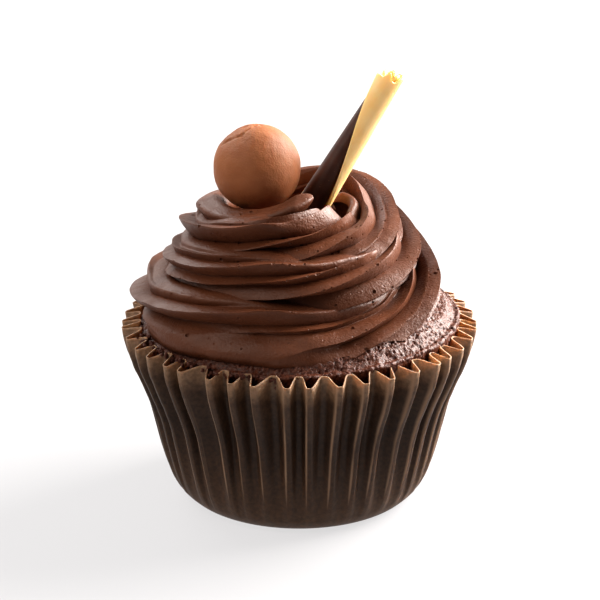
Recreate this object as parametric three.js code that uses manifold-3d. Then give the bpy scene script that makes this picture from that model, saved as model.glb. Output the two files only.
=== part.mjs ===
// Chocolate cupcake in a pleated paper case, with a piped frosting swirl,
// a chocolate malt ball and a two-tone chocolate curl.
// Millimetres, +Z up. The origin is the centre of the flat base on the floor.
// -Y is the front, +X the right-hand side.
import * as THREE from 'three';
import Module from 'manifold-3d';
import { mergeVertices } from 'three/addons/utils/BufferGeometryUtils.js';

const wasm = await Module();
wasm.setup();
const { Manifold, Mesh: SolidMesh } = wasm;

const TURN = 2 * Math.PI;
const DEG = Math.PI / 180;

// Clearance between pieces that touch.
const GAP = 0.3;

// Paper case: outer crest radius of the wall against height.
const CASE_PROFILE = [
  { z: 0, r: 21 },
  { z: 1.6, r: 25 },
  { z: 6.5, r: 27.5 },
  { z: 14.6, r: 29.4 },
  { z: 22.8, r: 31.1 },
  { z: 29.4, r: 34.4 },
  { z: 36.6, r: 36.1 },
];
const CASE_HEIGHT = 36.6;
const CASE_WALL = 0.4;
const CASE_FOOT = 8;
const PLEATS = 42;
const PLEAT_DEPTH = 3.5;
const PLEAT_START = 1.5;
const PLEAT_CREST = 0.24;
const PLEAT_VALLEY = 0.27;
const PLEAT_SHIFT = 0.12;
const PLEAT_LEAN = 0.13;
const PLEAT_UNEVEN = 0.12;
const CREST_DROP = 0.9;
const MITRE = 0.7;

// Sponge: fills the case into its pleats near the rim and domes above it.
const SPONGE_FILLS = [
  { z: 29.4, fill: 0.3 },
  { z: 33.2, fill: 0.55 },
];
const SPONGE_SHOULDER = { z: 35, fill: 0.3 };
const SPONGE_DOME = [
  { r: 31.1, z: 36.7 },
  { r: 29.4, z: 38.6 },
  { r: 23, z: 41 },
  { r: 11, z: 42.8 },
];
const SPONGE_TOP = 43.2;
const SPONGE_TILT = 0.035;

// Frosting: one long ridged rope wound inwards and upwards, as the hand led it.
// Middle of the rope at each sixth of a turn: radius, height and twist in degrees.
const STATIONS_PER_TURN = 6;
const STATIONS_BEFORE = 2;
const ROPE_PATH = [
  { r: 27.5, z: 40.5, twist: -60 },
  { r: 26.5, z: 40.5, twist: -35 },
  { r: 26, z: 41, twist: 0 },
  { r: 23.5, z: 44, twist: 15 },
  { r: 22, z: 41.5, twist: 75 },
  { r: 22.5, z: 43, twist: 155 },
  { r: 21.5, z: 48.5, twist: 180 },
  { r: 20, z: 48, twist: 220 },
  { r: 20, z: 49, twist: 255 },
  { r: 19.5, z: 52, twist: 270 },
  { r: 18.5, z: 50, twist: 330 },
  { r: 19, z: 49, twist: 395 },
  { r: 18, z: 52.5, twist: 420 },
  { r: 16.5, z: 51.5, twist: 465 },
  { r: 16.5, z: 53, twist: 505 },
  { r: 15, z: 57, twist: 505 },
  { r: 13.5, z: 55.5, twist: 570 },
  { r: 15, z: 54, twist: 640 },
  { r: 17.5, z: 58, twist: 650 },
  { r: 17, z: 56.5, twist: 685 },
  { r: 16, z: 58.5, twist: 735 },
  { r: 13, z: 59, twist: 810 },
  { r: 10, z: 65, twist: 835 },
  { r: 10, z: 60, twist: 875 },
];
const ROPE_START = -0.3;
const ROPE_END = 3.3;
const ROPE_STEPS = 104;
const SEGMENT_STEPS = 13;
const SWIRL_X = -0.7;
const SWIRL_Y = 0.1;
// Ridges round the rope, by angle in degrees. Broad ones alternate with narrow ones.
const RIDGES = [
  { angle: 10, r: 7.5 },
  { angle: 20, r: 5.5 },
  { angle: 55, r: 7 },
  { angle: 85, r: 6.5 },
  { angle: 115, r: 7 },
  { angle: 140, r: 6 },
  { angle: 180, r: 7 },
  { angle: 215, r: 6.5 },
  { angle: 250, r: 8 },
  { angle: 275, r: 8 },
  { angle: 300, r: 7 },
  { angle: 330, r: 5 },
];
const RIDGE_STEPS = 2;
const RIDGE_BROAD = 30;
const RIDGE_NARROW = 17;
const RIDGE_SHARP = 1.25;
const HOLLOW_R = 3.4;
// The inner face of each turn is pressed smooth by the turn above it.
const TOP_R = 5.2;
const TOP_ANGLE = 120 * DEG;
const TOP_ANGLE_RIGHT = 36 * DEG;
const TOP_EDGES = { low: 0.17, high: 0.5 };
const TOP_UNTIL = 2.35;
const TOP_FADE = 0.2;
// The lowest turn spreads out over the sponge at the front.
const FOOT_R = 9.4;
const FOOT_ANGLE = -52 * DEG;
const FOOT_EDGES = { low: 0.75, high: 0.98 };
const FOOT_FRONT = { low: -0.1, high: 0.8 };
const FOOT_UNTIL = 0.7;
const FOOT_FADE = 0.25;
// The rope starts blunt, thins into a tail and ends in a tip.
const START_SIZE = 0.3;
const START_TAPER = 0.08;
const TAIL_FROM = 2.45;
const TAIL_FULL = 3.05;
const TAIL_SIZE = 0.4;
// The tail's ridges are drawn out nearly smooth.
const TAIL_R = 6;
const TAIL_SHARE = 0.75;
const TAIL_SMOOTH = { from: 2.75, full: 2.95 };
const TIP_SIZE = 0.05;
const TIP_TAPER = 0.05;
// Frosting heaped inside the rope.
const CORE = [
  { z: 34, r: 23 },
  { z: 42, r: 21 },
  { z: 49, r: 16.5 },
  { z: 56, r: 11.5 },
  { z: 58.5, r: 7.5 },
];
const CORE_SIDES = 24;
// Lip: the edge of the last turn, standing up round the foot of the curl.
const LIP_PATH = [
  new THREE.Vector3(7, 5, 60.5),
  new THREE.Vector3(8.5, 4, 61.5),
  new THREE.Vector3(10.5, 2.5, 61),
  new THREE.Vector3(11, 0.5, 60.5),
  new THREE.Vector3(10.5, -2, 60),
  new THREE.Vector3(10, -4.5, 59.5),
  new THREE.Vector3(9, -6.5, 58.5),
  new THREE.Vector3(7.5, -8.5, 57.5),
  new THREE.Vector3(4.5, -10.5, 56),
  new THREE.Vector3(1, -12, 54.5),
];
const LIP_R = 1.6;
const LIP_END = 0.4;
const LIP_TALL = 2.6;
const LIP_STEPS = 14;
const LIP_SIDES = 10;
// Hole left beside the foot of the curl: an ellipsoid.
const HOLE_AT = new THREE.Vector3(6.2, 0, 62);
const HOLE_R = new THREE.Vector3(4.4, 5, 9);
const HOLE_SIDES = 20;
const HOLE_RINGS = 10;

// Malt ball, with a shallow dent near its top.
const BALL = { x: -8.3, y: -0.4, z: 67.9, r: 8.8 };
const BALL_RINGS = 14;
const BALL_SIDES = 24;
const DENT = { x: -0.42, y: -0.45, z: 0.79, reach: 0.42, deep: 0.5 };

// Chocolate curl: a tapering rolled scroll that leans to the right.
const CURL_FOOT = new THREE.Vector3(0.4, 1, 56.3);
const CURL_TOP = new THREE.Vector3(18.1, 3, 85.6);
const CURL_R_FOOT = 3.55;
const CURL_R_TOP = 2.86;
const CURL_SHEET = 0.6;
const CURL_TURNS = 1.5;
const CURL_PITCH = 1;
// The sheet's outer edge winds round the curl from its foot to its top.
const CURL_EDGE_FOOT = 354 * DEG;
const CURL_EDGE_TOP = 186 * DEG;
const CURL_AROUND = 25;
const CURL_ALONG = 9;
const CURL_JAGGED = 1.1;

function toSolid(geometry) {
  geometry.deleteAttribute('normal');
  geometry.deleteAttribute('uv');
  const merged = mergeVertices(geometry, 1e-4);
  return new Manifold(new SolidMesh({
    numProp: 3,
    vertProperties: new Float32Array(merged.attributes.position.array),
    triVerts: new Uint32Array(merged.index.array),
  }));
}

function toGeometry(solid) {
  const mesh = solid.getMesh();
  const geometry = new THREE.BufferGeometry();
  geometry.setAttribute('position', new THREE.BufferAttribute(mesh.vertProperties, 3));
  geometry.setIndex(new THREE.BufferAttribute(mesh.triVerts, 1));
  return geometry;
}

// Joins ring a below to ring b above. One may have a whole number of times more points.
function stitch(index, a, na, b, nb) {
  const n = Math.max(na, nb);
  const lowStep = n / na;
  const highStep = n / nb;
  for (let i = 0; i < n; i++) {
    const a0 = a + Math.floor(i / lowStep);
    const a1 = a + Math.floor((i + 1) / lowStep) % na;
    const b0 = b + Math.floor(i / highStep);
    const b1 = b + Math.floor((i + 1) / highStep) % nb;
    if (a0 !== a1) index.push(a0, a1, b0);
    if (b0 !== b1) index.push(a1, b1, b0);
  }
}

// Closed body through rings of points, closed by a fan to a point at each end.
function loft(rings, first, last) {
  const points = [];
  const index = [];
  const starts = [];
  for (const ring of rings) {
    starts.push(points.length / 3);
    for (const p of ring) points.push(p.x, p.y, p.z);
  }
  for (let j = 0; j < rings.length - 1; j++) {
    stitch(index, starts[j], rings[j].length, starts[j + 1], rings[j + 1].length);
  }
  const low = points.length / 3;
  points.push(first.x, first.y, first.z, last.x, last.y, last.z);
  const bottom = rings[0].length;
  for (let i = 0; i < bottom; i++) index.push(low, (i + 1) % bottom, i);
  const top = rings[rings.length - 1].length;
  const base = starts[rings.length - 1];
  for (let i = 0; i < top; i++) index.push(low + 1, base + i, base + (i + 1) % top);
  const geometry = new THREE.BufferGeometry();
  geometry.setAttribute('position', new THREE.Float32BufferAttribute(points, 3));
  geometry.setIndex(index);
  return geometry;
}

function polar(r, angle, z) {
  return new THREE.Vector3(r * Math.cos(angle), r * Math.sin(angle), z);
}

function onAxis(z) {
  return new THREE.Vector3(0, 0, z);
}

// A repeatable uneven value between -1 and 1 for pleat or corner number i.
function uneven(i, kind) {
  const s = Math.sin(i * 12.9898 + kind * 78.233) * 43758.5453;
  return (s - Math.floor(s)) * 2 - 1;
}

function wallRadius(z) {
  let i = 0;
  while (i < CASE_PROFILE.length - 2 && z > CASE_PROFILE[i + 1].z) i++;
  const a = CASE_PROFILE[i];
  const b = CASE_PROFILE[i + 1];
  return a.r + (b.r - a.r) * (z - a.z) / (b.z - a.z);
}

// How far the pleats have opened at height z, from 0 at the foot to 1 at the rim.
function opening(z) {
  return THREE.MathUtils.clamp((z - PLEAT_START) / (CASE_HEIGHT - PLEAT_START), 0, 1);
}

function crestAngle(i) {
  return (i + PLEAT_SHIFT * uneven((i + PLEATS) % PLEATS, 1)) * TURN / PLEATS;
}

// Ring of four corners to each pleat, moved inwards by inset. fill says how far
// out of the valley towards the crest the ring reaches.
function pleatRing(z, inset, fill) {
  const open = opening(z);
  const outer = wallRadius(z) - inset;
  const pitch = TURN / PLEATS;
  const mitre = MITRE * inset / outer;
  const crest = PLEAT_CREST * pitch / 2 - mitre;
  const valley = PLEAT_VALLEY * pitch / 2 + mitre;
  const points = [];
  for (let i = 0; i < PLEATS; i++) {
    const before = (crestAngle(i - 1) + crestAngle(i)) / 2;
    const after = (crestAngle(i) + crestAngle(i + 1)) / 2;
    const top = crestAngle(i) + PLEAT_LEAN * pitch * open * uneven(i, 2);
    const depth = PLEAT_DEPTH * open * (1 + PLEAT_UNEVEN * uneven(i, 3));
    const left = THREE.MathUtils.lerp(before + valley, top - crest, fill);
    const right = THREE.MathUtils.lerp(after - valley, top + crest, fill);
    const out = outer - depth * (1 - fill);
    const drop = CREST_DROP * open * open * fill;
    points.push(polar(outer - depth, before + valley, z));
    points.push(polar(out, left, z - drop));
    points.push(polar(out, right, z - drop));
    points.push(polar(outer - depth, after - valley, z));
  }
  return points;
}

// Plain ring with one point to each pleat.
function plainRing(r, z) {
  const points = [];
  for (let i = 0; i < PLEATS; i++) points.push(polar(r, crestAngle(i), z));
  return points;
}

// Height of the inner face above the outer face of the wall at height z.
function footRise(z) {
  return CASE_WALL * Math.max(0, 1 - z / CASE_FOOT);
}

function buildCase() {
  const foot = CASE_PROFILE[0];
  const wall = CASE_PROFILE.slice(1);
  const outside = wall.map((p) => pleatRing(p.z, 0, 1));
  const inside = wall.map((p) => pleatRing(p.z, CASE_WALL, 1).map((q) => {
    q.z += footRise(p.z);
    return q;
  }));
  inside.reverse();
  const rings = [
    plainRing(foot.r, 0),
    ...outside,
    ...inside,
    plainRing(foot.r, CASE_WALL),
  ];
  return loft(rings, onAxis(0), onAxis(CASE_WALL));
}

// Valley radius of the case at height z, less the clearance.
function valleyInside(z) {
  const depth = PLEAT_DEPTH * opening(z) * (1 + PLEAT_UNEVEN);
  return wallRadius(z) - CASE_WALL - GAP - depth;
}

function tilted(p) {
  p.z += SPONGE_TILT * p.x;
  return p;
}

function domeRings(lift) {
  return SPONGE_DOME.map((p) => plainRing(p.r + lift, p.z + lift).map(tilted));
}

function buildSponge() {
  const inset = CASE_WALL + GAP;
  const low = CASE_PROFILE.slice(1, 5).map((p) => {
    const z = p.z + footRise(p.z) + GAP;
    return plainRing(valleyInside(p.z), z);
  });
  const pleated = [...SPONGE_FILLS, SPONGE_SHOULDER].map((p) => pleatRing(p.z, inset, p.fill));
  const rings = [
    plainRing(CASE_PROFILE[0].r - inset, CASE_WALL + GAP),
    ...low,
    ...pleated,
    ...domeRings(0),
  ];
  return loft(rings, onAxis(CASE_WALL + GAP), onAxis(SPONGE_TOP));
}

// Space kept clear of frosting: the dome of the sponge and everything under it.
function spongeClearance() {
  const floor = SPONGE_FILLS[0].z;
  const wide = SPONGE_DOME[0].r + CASE_HEIGHT;
  const rings = [
    plainRing(wide, floor),
    plainRing(wide, CASE_HEIGHT + GAP),
    plainRing(SPONGE_DOME[0].r + GAP, CASE_HEIGHT + GAP),
    ...domeRings(GAP),
  ];
  return loft(rings, onAxis(floor), onAxis(SPONGE_TOP + GAP));
}

const ropeCurve = new THREE.CatmullRomCurve3(
  ROPE_PATH.map((p) => new THREE.Vector3(p.r, p.z, p.twist)),
  false,
  'catmullrom',
);

// Size of the rope along its length.
function ropeScale(t) {
  const start = THREE.MathUtils.clamp((t - ROPE_START) / START_TAPER, 0, 1);
  const tail = 1 - (1 - TAIL_SIZE) * THREE.MathUtils.smoothstep(t, TAIL_FROM, TAIL_FULL);
  const tip = THREE.MathUtils.clamp((ROPE_END - t) / TIP_TAPER, 0, 1);
  return Math.sqrt(START_SIZE + (1 - START_SIZE) * start) * tail
    * Math.sqrt(TIP_SIZE + (1 - TIP_SIZE) * tip);
}

function ropeCentre(t) {
  const station = (t * STATIONS_PER_TURN + STATIONS_BEFORE) / (ROPE_PATH.length - 1);
  const p = ropeCurve.getPoint(station);
  return { angle: Math.PI + TURN * t, r: p.x, z: p.y, twist: p.z * DEG };
}

function ropePoint(centre, out, up) {
  const p = polar(centre.r + out, centre.angle, centre.z + up);
  p.x += SWIRL_X;
  p.y += SWIRL_Y;
  return p;
}

// Radius of the rope's outline at an angle in degrees.
function outlineRadius(angle) {
  let r = HOLLOW_R;
  RIDGES.forEach((ridge, i) => {
    const wide = i % 2 === 0 ? RIDGE_BROAD : RIDGE_NARROW;
    const off = Math.abs(THREE.MathUtils.euclideanModulo(angle - ridge.angle + 180, 360) - 180);
    const near = Math.pow(Math.max(0, 1 - off / wide), RIDGE_SHARP);
    r = Math.max(r, HOLLOW_R + (ridge.r - HOLLOW_R) * near);
  });
  return r;
}

// Angles of the rope's corners: each ridge, and the steps on the way to the next.
function outlineAngles() {
  const angles = [];
  RIDGES.forEach((ridge, i) => {
    const next = RIDGES[i + 1] ?? { angle: RIDGES[0].angle + 360 };
    for (let k = 0; k < RIDGE_STEPS; k++) {
      angles.push(ridge.angle + (next.angle - ridge.angle) * k / RIDGE_STEPS);
    }
  });
  return angles;
}

// Radius once the rope has been pressed and drawn out by hand.
function settledRadius(radius, t, centre, around) {
  const { clamp, lerp, smoothstep } = THREE.MathUtils;
  const scale = ropeScale(t);

  const inwards = TOP_ANGLE + TOP_ANGLE_RIGHT * Math.max(0, Math.cos(centre.angle));
  const covered = clamp((TOP_UNTIL - t) / TOP_FADE, 0, 1);
  const top = smoothstep(Math.cos(around - inwards), TOP_EDGES.low, TOP_EDGES.high);
  let r = lerp(radius, TOP_R * scale, top * covered);

  const tail = TAIL_SHARE * smoothstep(t, TAIL_SMOOTH.from, TAIL_SMOOTH.full);
  r = lerp(r, TAIL_R * scale, tail);

  const lowest = clamp((FOOT_UNTIL - t) / FOOT_FADE, 0, 1);
  const front = smoothstep(-Math.sin(centre.angle), FOOT_FRONT.low, FOOT_FRONT.high);
  const foot = smoothstep(Math.cos(around - FOOT_ANGLE), FOOT_EDGES.low, FOOT_EDGES.high);
  return lerp(r, Math.max(r, FOOT_R), foot * lowest * front);
}

function ropeRing(t) {
  const centre = ropeCentre(t);
  const scale = ropeScale(t);
  const points = outlineAngles().map((own) => {
    const around = centre.twist + own * DEG;
    const r = settledRadius(outlineRadius(own) * scale, t, centre, around);
    return ropePoint(centre, r * Math.cos(around), r * Math.sin(around));
  });
  points.reverse();
  return points;
}

function ropeSegments() {
  const at = (i) => ROPE_START + (ROPE_END - ROPE_START) * i / ROPE_STEPS;
  const solids = [];
  for (let i = 0; i < ROPE_STEPS; i += SEGMENT_STEPS) {
    const rings = [];
    for (let j = i; j <= i + SEGMENT_STEPS; j++) rings.push(ropeRing(at(j)));
    const first = ropePoint(ropeCentre(at(i)), 0, 0);
    const last = ropePoint(ropeCentre(at(i + SEGMENT_STEPS)), 0, 0);
    solids.push(toSolid(loft(rings, first, last)));
  }
  return solids;
}

// A curved wall with a rounded top edge, thinner towards its two ends.
function lipSolid() {
  const curve = new THREE.CatmullRomCurve3(LIP_PATH, false, 'catmullrom');
  const rings = [];
  const middles = [];
  for (let j = 0; j <= LIP_STEPS; j++) {
    const s = j / LIP_STEPS;
    const middle = curve.getPoint(s);
    const tangent = curve.getTangent(s);
    const side = new THREE.Vector3(-tangent.y, tangent.x, 0).normalize();
    const r = LIP_R * (LIP_END + (1 - LIP_END) * Math.sqrt(Math.sin(Math.PI * s)));
    const ring = [];
    for (let i = 0; i < LIP_SIDES; i++) {
      const angle = TURN * i / LIP_SIDES;
      const p = middle.clone().addScaledVector(side, r * Math.cos(angle));
      p.z += r * (LIP_TALL * Math.sin(angle) - LIP_TALL);
      ring.push(p);
    }
    rings.push(ring);
    middle.z -= r * LIP_TALL;
    middles.push(middle);
  }
  return toSolid(loft(rings, middles[0], middles[LIP_STEPS]));
}

function coreSolid() {
  const rings = CORE.map((p) => {
    const points = [];
    for (let i = 0; i < CORE_SIDES; i++) {
      const q = polar(p.r, TURN * i / CORE_SIDES, p.z);
      q.x += SWIRL_X;
      q.y += SWIRL_Y;
      points.push(q);
    }
    return points;
  });
  const first = new THREE.Vector3(SWIRL_X, SWIRL_Y, CORE[0].z);
  const last = new THREE.Vector3(SWIRL_X, SWIRL_Y, CORE[CORE.length - 1].z);
  return toSolid(loft(rings, first, last));
}

function ballGeometry(grow) {
  const dent = new THREE.Vector3(DENT.x, DENT.y, DENT.z).normalize();
  const rings = [];
  for (let j = 1; j < BALL_RINGS; j++) {
    const fall = Math.PI * (1 - j / BALL_RINGS);
    const ring = [];
    for (let i = 0; i < BALL_SIDES; i++) {
      const p = polar(Math.sin(fall), TURN * i / BALL_SIDES, Math.cos(fall));
      const near = Math.exp(-Math.pow(p.angleTo(dent) / DENT.reach, 2));
      p.multiplyScalar(BALL.r + grow - DENT.deep * near * (grow > 0 ? 0 : 1));
      ring.push(p.add(new THREE.Vector3(BALL.x, BALL.y, BALL.z)));
    }
    rings.push(ring);
  }
  const foot = new THREE.Vector3(BALL.x, BALL.y, BALL.z - BALL.r - grow);
  const top = new THREE.Vector3(BALL.x, BALL.y, BALL.z + BALL.r + grow);
  return loft(rings, foot, top);
}

// Frame of the curl at share s of its length.
function curlFrame(s) {
  const along = CURL_TOP.clone().sub(CURL_FOOT).normalize();
  const side = new THREE.Vector3(0, 1, 0).cross(along).normalize();
  const back = along.clone().cross(side);
  const middle = CURL_FOOT.clone().lerp(CURL_TOP, s);
  const r = THREE.MathUtils.lerp(CURL_R_FOOT, CURL_R_TOP, s);
  return { along, side, back, middle, r };
}

function curlPoint(s, r, angle, shift) {
  const f = curlFrame(s);
  const p = f.middle.clone();
  p.addScaledVector(f.side, r * Math.cos(angle));
  p.addScaledVector(f.back, r * Math.sin(angle));
  return p.addScaledVector(f.along, shift);
}

// Cross-section of the rolled sheet: out along its outer face, back along its inner.
function curlRing(s) {
  const frame = curlFrame(s);
  const outer = [];
  const inner = [];
  for (let i = 0; i <= CURL_AROUND; i++) {
    const wound = i / CURL_AROUND;
    const edge = THREE.MathUtils.lerp(CURL_EDGE_FOOT, CURL_EDGE_TOP, s);
    const angle = edge + TURN * CURL_TURNS * wound;
    const r = frame.r - CURL_PITCH * CURL_TURNS * wound;
    const end = s === 1 ? CURL_JAGGED * uneven(i, 5) : 0;
    outer.push(curlPoint(s, r, angle, end));
    inner.push(curlPoint(s, r - CURL_SHEET, angle, end));
  }
  inner.reverse();
  return [...outer, ...inner];
}

function curlGeometry() {
  const points = [];
  const index = [];
  const n = 2 * (CURL_AROUND + 1);
  for (let j = 0; j <= CURL_ALONG; j++) {
    for (const p of curlRing(j / CURL_ALONG)) points.push(p.x, p.y, p.z);
  }
  for (let j = 0; j < CURL_ALONG; j++) stitch(index, j * n, n, (j + 1) * n, n);
  const top = CURL_ALONG * n;
  for (let i = 0; i < CURL_AROUND; i++) {
    const a = i;
    const b = i + 1;
    const c = n - 2 - i;
    const d = n - 1 - i;
    index.push(a, c, b, a, d, c);
    index.push(top + a, top + b, top + c, top + a, top + c, top + d);
  }
  const geometry = new THREE.BufferGeometry();
  geometry.setAttribute('position', new THREE.Float32BufferAttribute(points, 3));
  geometry.setIndex(index);
  return geometry;
}

// Hole in the frosting round the foot of the curl.
function curlClearance() {
  const ringAt = (s) => {
    const points = [];
    for (let i = 0; i < CORE_SIDES; i++) {
      points.push(curlPoint(s, curlFrame(s).r + GAP, TURN * i / CORE_SIDES, s === 0 ? -GAP : 0));
    }
    return points;
  };
  const first = curlPoint(0, 0, 0, -GAP);
  const last = curlPoint(1, 0, 0, 0);
  return toSolid(loft([ringAt(0), ringAt(0.3), ringAt(1)], first, last));
}

// Hole left beside the foot of the curl.
function holeSolid() {
  const geometry = new THREE.SphereGeometry(1, HOLE_SIDES, HOLE_RINGS);
  geometry.scale(HOLE_R.x, HOLE_R.y, HOLE_R.z);
  geometry.translate(HOLE_AT.x, HOLE_AT.y, HOLE_AT.z);
  return toSolid(geometry);
}

// Drops the crumbs and pinholes left where ridges cross, keeping the main body.
function mainBody(geometry) {
  const index = geometry.index.array;
  const parent = new Uint32Array(geometry.attributes.position.count).map((_, i) => i);
  const root = (i) => {
    let k = i;
    while (parent[k] !== k) k = parent[k];
    return k;
  };
  const sizes = new Map();
  for (let i = 0; i < index.length; i += 3) {
    parent[root(index[i])] = root(index[i + 1]);
    parent[root(index[i + 1])] = root(index[i + 2]);
  }
  for (const i of index) sizes.set(root(i), (sizes.get(root(i)) ?? 0) + 1);
  const main = [...sizes].reduce((a, b) => (b[1] > a[1] ? b : a))[0];
  geometry.setIndex([...index].filter((i) => root(i) === main));
  return geometry;
}

function buildFrosting() {
  let body = coreSolid();
  for (const segment of ropeSegments()) body = body.add(segment);
  body = body.subtract(holeSolid()).add(lipSolid());
  body = body.subtract(toSolid(spongeClearance()));
  body = body.subtract(toSolid(ballGeometry(GAP)));
  body = body.subtract(curlClearance());
  return mainBody(toGeometry(body));
}

function addPiece(group, name, geometry, color, roughness) {
  const material = new THREE.MeshStandardMaterial({ color, roughness, metalness: 0 });
  const mesh = new THREE.Mesh(geometry, material);
  mesh.name = name;
  group.add(mesh);
}

const group = new THREE.Group();
addPiece(group, 'paper_case', buildCase(), 0x4a2a1b, 0.75);
addPiece(group, 'sponge', buildSponge(), 0x3a1f16, 0.9);
addPiece(group, 'frosting', buildFrosting(), 0x6d4230, 0.5);
addPiece(group, 'malt_ball', ballGeometry(0), 0xa0603e, 0.7);
addPiece(group, 'chocolate_curl', curlGeometry(), 0xe0b878, 0.5);

export default group;
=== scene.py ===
import math

import bpy
import numpy as np
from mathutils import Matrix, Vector, noise


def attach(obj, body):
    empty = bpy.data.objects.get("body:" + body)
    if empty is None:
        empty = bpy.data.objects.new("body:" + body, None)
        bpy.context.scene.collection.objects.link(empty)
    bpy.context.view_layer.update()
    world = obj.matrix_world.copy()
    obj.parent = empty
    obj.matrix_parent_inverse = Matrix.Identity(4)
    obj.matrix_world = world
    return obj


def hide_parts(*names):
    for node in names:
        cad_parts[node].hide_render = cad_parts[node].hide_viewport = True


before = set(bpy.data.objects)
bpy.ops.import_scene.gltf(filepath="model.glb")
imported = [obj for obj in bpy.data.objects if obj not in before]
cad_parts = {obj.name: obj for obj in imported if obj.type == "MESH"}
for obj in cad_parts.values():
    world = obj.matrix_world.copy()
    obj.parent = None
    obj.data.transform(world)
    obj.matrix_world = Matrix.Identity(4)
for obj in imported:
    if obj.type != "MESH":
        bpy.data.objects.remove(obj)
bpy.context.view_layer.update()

# Forms are worked out in millimetres, and add_mesh turns them into metres.
MM = 0.001
TURN = 2 * math.pi
DEG = math.pi / 180
SEED = 5613
# Radius of the ring that closes a form at its middle.
TIP_R = 0.01
# These carry each seed's noise and each seed's cells to a place of their own.
NOISE_SHIFT = (7.31, 3.17, 5.93)
CELL_SHIFT = (5.7, 2.9, 8.3)

# ---- Camera: at the photograph's angle, about 21 degrees down --------------

# Places in metres, lens and sensor in millimetres.
CAMERA_AT = (0, -0.41954, 0.19774)
CAMERA_TO = (0.00015, 0, 0.03998)
CAMERA_LENS = 133.9
CAMERA_SENSOR = 36
CAMERA_REACH = 20


def make_camera():
    data = bpy.data.cameras.new("camera")
    data.lens = CAMERA_LENS
    data.sensor_width = CAMERA_SENSOR
    data.clip_end = CAMERA_REACH
    camera = bpy.data.objects.new("camera", data)
    bpy.context.scene.collection.objects.link(camera)
    camera.location = CAMERA_AT
    look = Vector(CAMERA_TO) - Vector(CAMERA_AT)
    camera.rotation_euler = look.to_track_quat("-Z", "Y").to_euler()
    bpy.context.scene.camera = camera


# ---- Numbers --------------------------------------------------------------


def uneven(i, kind):
    """A repeatable uneven value between -1 and 1 for number i, from the usual sine hash."""
    s = np.sin(i * 12.9898 + kind * 78.233) * 43758.5453
    return (s - np.floor(s)) * 2 - 1


def clamp(x, low=0.0, high=1.0):
    return np.minimum(np.maximum(x, low), high)


def smoothstep(x, low, high):
    """0 up to low, 1 from high on, and a smooth rise between them."""
    s = clamp((x - low) / (high - low))
    return s * s * (3 - 2 * s)


def lerp(a, b, s):
    return a + (b - a) * s


def softened(ring):
    """Each row of a closed ring moved halfway to the mean of its two neighbours."""
    return 0.5 * ring + 0.25 * (np.roll(ring, 1, 0) + np.roll(ring, -1, 0))


def smooth_curve(stations, u):
    """Points at places u on a smooth curve through the stations."""
    k = clamp(np.floor(u), 0, len(stations) - 2).astype(int)
    f = (u - k)[:, None]
    before = 2 * stations[:1] - stations[1:2]
    after = 2 * stations[-1:] - stations[-2:-1]
    path = np.concatenate([before, stations, after])
    a, b, c, d = path[k], path[k + 1], path[k + 2], path[k + 3]
    p = 2 * b + (c - a) * f + (2 * a - 5 * b + 4 * c - d) * f ** 2
    return 0.5 * (p + (3 * b - a - 3 * c + d) * f ** 3)


def fractal(points, size, seed, octaves=3):
    """Fractal noise at points in millimetres, about -1 to 1, features of the given size."""
    shift = Vector([seed * step for step in NOISE_SHIFT])
    values = [noise.fractal(Vector(p) / size + shift, 1.0, 2.0, octaves) for p in points]
    return np.array(values)


def cell_distance(points, size, seed):
    """Distance to the nearest cell centre, in shares of the cell size."""
    shift = Vector([seed * step for step in CELL_SHIFT])
    return np.array([noise.voronoi(Vector(p) / size + shift)[0][0] for p in points])


# ---- Points and faces -----------------------------------------------------


def turn_angles(count):
    """Even angles round one turn."""
    return TURN * np.arange(count) / count


def place_at(angle, r, z):
    return np.array([r * math.cos(angle), r * math.sin(angle), z])


def level_ring(r, z, angle):
    """Points at radius r and height z, one for each angle."""
    return np.stack([r * np.cos(angle), r * np.sin(angle), z + 0 * angle], 1)


def ball_grid(rings, sides):
    """Points on a ball of radius 1, a row for each ring from the lowest to the highest."""
    rise = math.pi * (np.arange(rings) + 0.5) / rings
    angle = turn_angles(sides)
    x = np.sin(rise)[:, None] * np.cos(angle)
    y = np.sin(rise)[:, None] * np.sin(angle)
    z = -np.cos(rise)[:, None] + 0 * angle
    return np.stack([x, y, z], -1)


def grid_faces(rows, cols):
    """Quads of a grid of points, row by row. Each row closes on itself."""
    j, i = np.mgrid[0:rows - 1, 0:cols]
    k = (i + 1) % cols
    quads = [j * cols + i, j * cols + k, (j + 1) * cols + k, (j + 1) * cols + i]
    return np.stack(quads, -1).reshape(-1, 4)


def closed_tube(rows):
    """Points and faces of a tube through rows of points, closed at both ends."""
    count, cols = rows.shape[:2]
    faces = grid_faces(count, cols).tolist()
    faces.append(list(range(cols))[::-1])
    faces.append([(count - 1) * cols + i for i in range(cols)])
    return rows.reshape(-1, 3), faces


def gathered(bodies):
    """Points and faces of several closed tubes, given by their rows, as one mesh."""
    points = []
    faces = []
    first = 0
    for rows in bodies:
        own_points, own_faces = closed_tube(rows)
        faces += [[first + i for i in face] for face in own_faces]
        points.append(own_points)
        first += len(own_points)
    return np.concatenate(points), faces


# ---- Blender objects ------------------------------------------------------


def add_mesh(name, points, faces, smooth=True):
    """Object from points in millimetres. Each face is a row of point numbers."""
    mesh = bpy.data.meshes.new(name)
    mesh.from_pydata((np.asarray(points) * MM).tolist(), [], [list(map(int, f)) for f in faces])
    mesh.validate()
    mesh.polygons.foreach_set("use_smooth", [smooth] * len(mesh.polygons))
    obj = bpy.data.objects.new(name, mesh)
    bpy.context.scene.collection.objects.link(obj)
    return obj


def get_points(obj):
    co = np.zeros(len(obj.data.vertices) * 3)
    obj.data.vertices.foreach_get("co", co)
    return co.reshape(-1, 3) / MM


def set_points(obj, points):
    obj.data.vertices.foreach_set("co", (points * MM).ravel())
    obj.data.update()


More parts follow.
